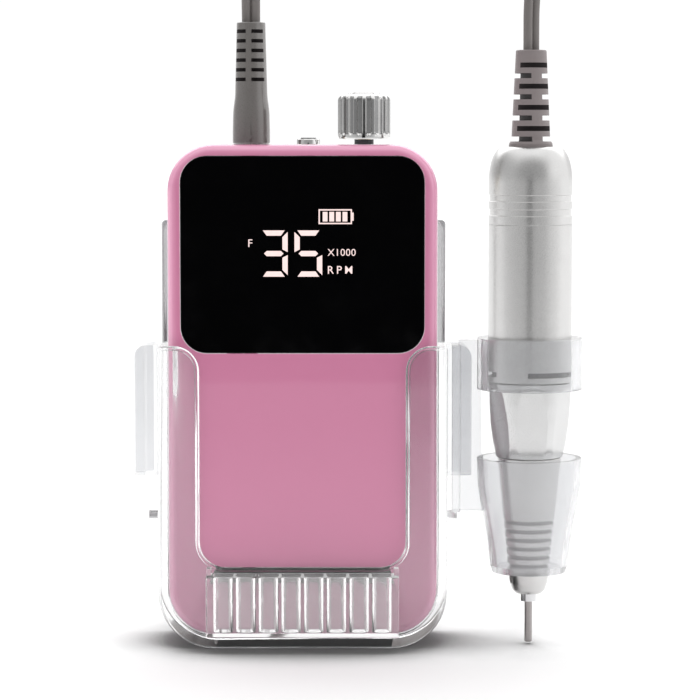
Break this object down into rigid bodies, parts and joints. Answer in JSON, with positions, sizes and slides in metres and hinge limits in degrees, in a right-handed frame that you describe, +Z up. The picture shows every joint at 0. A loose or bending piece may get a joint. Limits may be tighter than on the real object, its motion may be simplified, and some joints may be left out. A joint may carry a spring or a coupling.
{
  "type": "electric nail drill",
  "caption": "Portable nail drill: battery control box in a clear cradle with a bit rack, and a handpiece on a side bracket, joined by a flat twin cord.",
  "frame": {"origin": "middle of the cradle's base, on the surface it stands on", "axes": "+Z up, +X to the handpiece's side, +Y to the back"},
  "size_m": [0.1366, 0.1238, 0.249],
  "materials": {
    "clear_plastic": "clear moulded polycarbonate, polished",
    "pink_plastic": "glossy moulded",
    "window": "polished black window with lit readouts, emissive",
    "light_block": "moulded, emissive cells",
    "circuit_board": "solder resist",
    "black_plastic": "moulded",
    "screw_steel": "zinc plated",
    "battery_sleeve": null,
    "nickel": "nickel strip",
    "wire_red": "insulated lead",
    "pot_body": "plated",
    "chrome_trim": "bright plated",
    "white_plastic": "moulded",
    "brass_part": "turned",
    "grey_pvc": "soft moulded, satin",
    "cord_sheath": "soft twin sheath, satin",
    "satin_aluminium": "bead blasted and anodised",
    "motor_steel": "drawn, plain",
    "magnet": "ferrite",
    "carbon": "carbon",
    "bearing_steel": "ground",
    "bit_steel": "turned"
  },
  "bodies": {
    "cradle": {"cradle_shell": "clear_plastic", "bit_rack": "clear_plastic", "handpiece_holder": "clear_plastic", "cord_arch": "cord_sheath", "cord_drop": "cord_sheath", "cord_coil": "cord_sheath"},
    "control_box": {"front_cover": "pink_plastic", "rear_cover": "pink_plastic", "case_screws": "screw_steel", "display_window": "window", "display_module": "light_block", "display_board": "circuit_board", "display_screws": "screw_steel", "main_board": "circuit_board", "board_components": "black_plastic", "board_screws": "screw_steel", "control_board": "circuit_board", "battery_holder": "black_plastic", "battery_cell_1": "battery_sleeve", "battery_cell_2": "battery_sleeve", "battery_cell_3": "battery_sleeve", "battery_contacts": "nickel", "battery_leads": "wire_red", "charge_port": "black_plastic", "handpiece_jack": "black_plastic", "jack_leads": "wire_red", "speed_pot": "pot_body", "button_bezel": "chrome_trim", "button_switch": "black_plastic"},
    "knob": {"speed_knob": "chrome_trim", "pot_shaft": "screw_steel", "pot_wiper": "brass_part"},
    "direction_button": {"button_cap": "chrome_trim", "switch_plunger": "white_plastic"},
    "plug": {"plug_body": "grey_pvc", "plug_contact": "brass_part"},
    "handpiece": {"cord_relief": "grey_pvc", "rear_cap": "satin_aluminium", "motor_leads": "wire_red", "motor_housing": "satin_aluminium", "motor_can": "motor_steel", "motor_magnets": "magnet", "brush_holder": "white_plastic", "carbon_brushes": "carbon", "nose_cone": "satin_aluminium", "front_bearing": "bearing_steel", "rear_bearing": "bearing_steel"},
    "twist_lock": {"lock_sleeve": "satin_aluminium", "lock_cam": "brass_part"},
    "rotating_parts": {"motor_rotor": "motor_steel", "commutator": "brass_part", "motor_shaft": "bearing_steel", "shaft_coupling": "black_plastic", "spindle": "bearing_steel", "collet": "bearing_steel", "collet_spring": "screw_steel"},
    "bit": {"bit_pin": "bit_steel"}
  },
  "joints": [
    {"name": "box_lift", "type": "slide", "parent": "cradle", "child": "control_box", "axis": [0, 0, 1], "range_m": [0, 0.135], "deforming": ["cord_drop"]},
    {"name": "handpiece_lift", "type": "slide", "parent": "cradle", "child": "handpiece", "axis": [0, 0, 1], "range_m": [0, 0.1], "deforming": ["cord_arch"]},
    {"name": "speed_turn", "type": "hinge", "parent": "control_box", "child": "knob", "pos_m": [0.0187, 0, 0.155], "axis": [0, 0, 1], "range_deg": [0, 300]},
    {"name": "direction_press", "type": "slide", "parent": "control_box", "child": "direction_button", "axis": [0, 0, -1], "range_m": [0, 0.0008], "stiffness_N_per_m": 900, "springref_m": -0.0008},
    {"name": "plug_pull", "type": "slide", "parent": "control_box", "child": "plug", "axis": [0, 0, 1], "range_m": [0, 0.016]},
    {"name": "lock_twist", "type": "hinge", "parent": "handpiece", "child": "twist_lock", "pos_m": [0.0693, -0.007, 0.07], "axis": [0, 0, 1], "range_deg": [0, 60]},
    {"name": "spindle_spin", "type": "hinge", "parent": "handpiece", "child": "rotating_parts", "pos_m": [0.0693, -0.007, 0.06], "axis": [0, 0, 1], "continuous": true},
    {"name": "bit_pull", "type": "slide", "parent": "rotating_parts", "child": "bit", "axis": [0, 0, -1], "range_m": [0, 0.021]}
  ]
}
